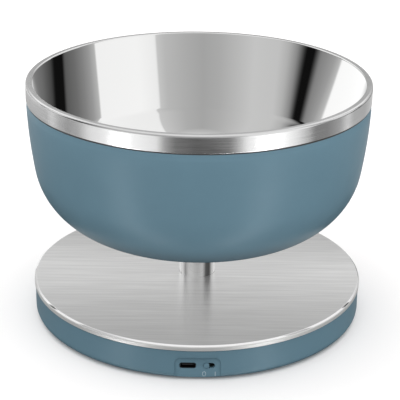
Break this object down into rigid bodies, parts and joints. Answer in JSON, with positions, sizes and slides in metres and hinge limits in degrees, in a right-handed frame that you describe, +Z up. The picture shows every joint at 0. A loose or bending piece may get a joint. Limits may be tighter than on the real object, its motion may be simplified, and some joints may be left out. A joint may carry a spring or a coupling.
{
  "type": "motorised serving bowl",
  "caption": "Steel bowl in a blue-grey shell that turns on a short steel post above a round battery-powered base with a charging inlet and a slide switch.",
  "frame": {"origin": "on the table, at the centre of the base, under the post", "axes": "+Z up along the bowl's axis, the front with the inlet and the switch faces -Y, +X to the right seen from the front"},
  "size_m": [0.204, 0.204, 0.1474],
  "materials": {
    "polished_steel": "polished",
    "brushed_steel": "brushed",
    "blue_shell": "satin",
    "bearing_steel": "ground",
    "zinc_steel": "satin",
    "brass": "satin",
    "black_rubber": "matte",
    "silicone": "matte",
    "white_acetal": "matte",
    "black_plastic": "matte",
    "board_green": "satin",
    "battery_wrap": "satin",
    "red_wire": "satin"
  },
  "bodies": {
    "base": {"post": "polished_steel", "post_cap": "polished_steel", "bearing_spacer": "zinc_steel", "upper_bearing_outer_race": "bearing_steel", "lower_bearing_outer_race": "bearing_steel", "post_screw_1": "zinc_steel", "post_screw_2": "zinc_steel", "post_screw_3": "zinc_steel", "top_plate": "brushed_steel", "base_housing": "blue_shell", "bottom_cover": "black_plastic", "plate_gasket": "black_rubber", "cover_screw_1": "zinc_steel", "cover_screw_2": "zinc_steel", "cover_screw_3": "zinc_steel", "cover_screw_4": "zinc_steel", "foot_1": "black_rubber", "foot_2": "black_rubber", "foot_3": "black_rubber", "foot_4": "black_rubber", "motor_can": "zinc_steel", "motor_plate": "brass", "motor_screw_1": "zinc_steel", "motor_screw_2": "zinc_steel", "circuit_board": "board_green", "board_screw_1": "zinc_steel", "board_screw_2": "zinc_steel", "charge_chip": "black_plastic", "battery_socket": "white_acetal", "motor_socket": "white_acetal", "usb_c_shell": "zinc_steel", "usb_c_tongue": "black_plastic", "switch_body": "black_plastic", "battery_cell": "battery_wrap", "battery_strap": "black_plastic", "battery_cable": "red_wire", "motor_cable": "black_rubber"},
    "rotor": {"spindle": "bearing_steel", "retaining_ring": "zinc_steel", "upper_bearing_inner_race": "bearing_steel", "lower_bearing_inner_race": "bearing_steel", "drive_plate": "black_plastic", "drive_plate_screw": "zinc_steel", "grip_pad_1": "silicone", "grip_pad_2": "silicone", "grip_pad_3": "silicone", "output_gear": "white_acetal", "gear_screw": "zinc_steel"},
    "bowl": {"bowl_liner": "polished_steel", "bowl_shell": "blue_shell", "rim_seal": "silicone", "drive_socket": "black_plastic", "socket_screw_1": "zinc_steel", "socket_screw_2": "zinc_steel", "socket_screw_3": "zinc_steel"},
    "upper_cage": {"upper_bearing_balls": "brass"},
    "lower_cage": {"lower_bearing_balls": "brass"},
    "motor_output": {"motor_shaft": "bearing_steel", "pinion": "brass"},
    "power_knob": {"switch_knob": "blue_shell"}
  },
  "joints": [
    {"name": "bowl_spin", "type": "hinge", "parent": "base", "child": "rotor", "pos_m": [0, 0, 0.04], "axis": [0, 0, 1], "continuous": true},
    {"name": "bowl_lift", "type": "slide", "parent": "rotor", "child": "bowl", "axis": [0, 0, 1], "range_m": [0, 0.06]},
    {"name": "upper_cage_spin", "type": "hinge", "parent": "base", "child": "upper_cage", "pos_m": [0, 0, 0.0515], "axis": [0, 0, 1], "continuous": true},
    {"name": "lower_cage_spin", "type": "hinge", "parent": "base", "child": "lower_cage", "pos_m": [0, 0, 0.0257], "axis": [0, 0, 1], "continuous": true},
    {"name": "motor_spin", "type": "hinge", "parent": "base", "child": "motor_output", "pos_m": [0, 0.0224, 0.0154], "axis": [0, 0, 1], "continuous": true},
    {"name": "power_switch", "type": "slide", "parent": "base", "child": "power_knob", "axis": [1, 0, 0], "range_m": [0, 0.003]}
  ],
  "couplings": [
    {"joint": "motor_spin", "follows": "bowl_spin", "ratio": -2.5},
    {"joint": "upper_cage_spin", "follows": "bowl_spin", "ratio": 0.3963},
    {"joint": "lower_cage_spin", "follows": "bowl_spin", "ratio": 0.3963}
  ]
}
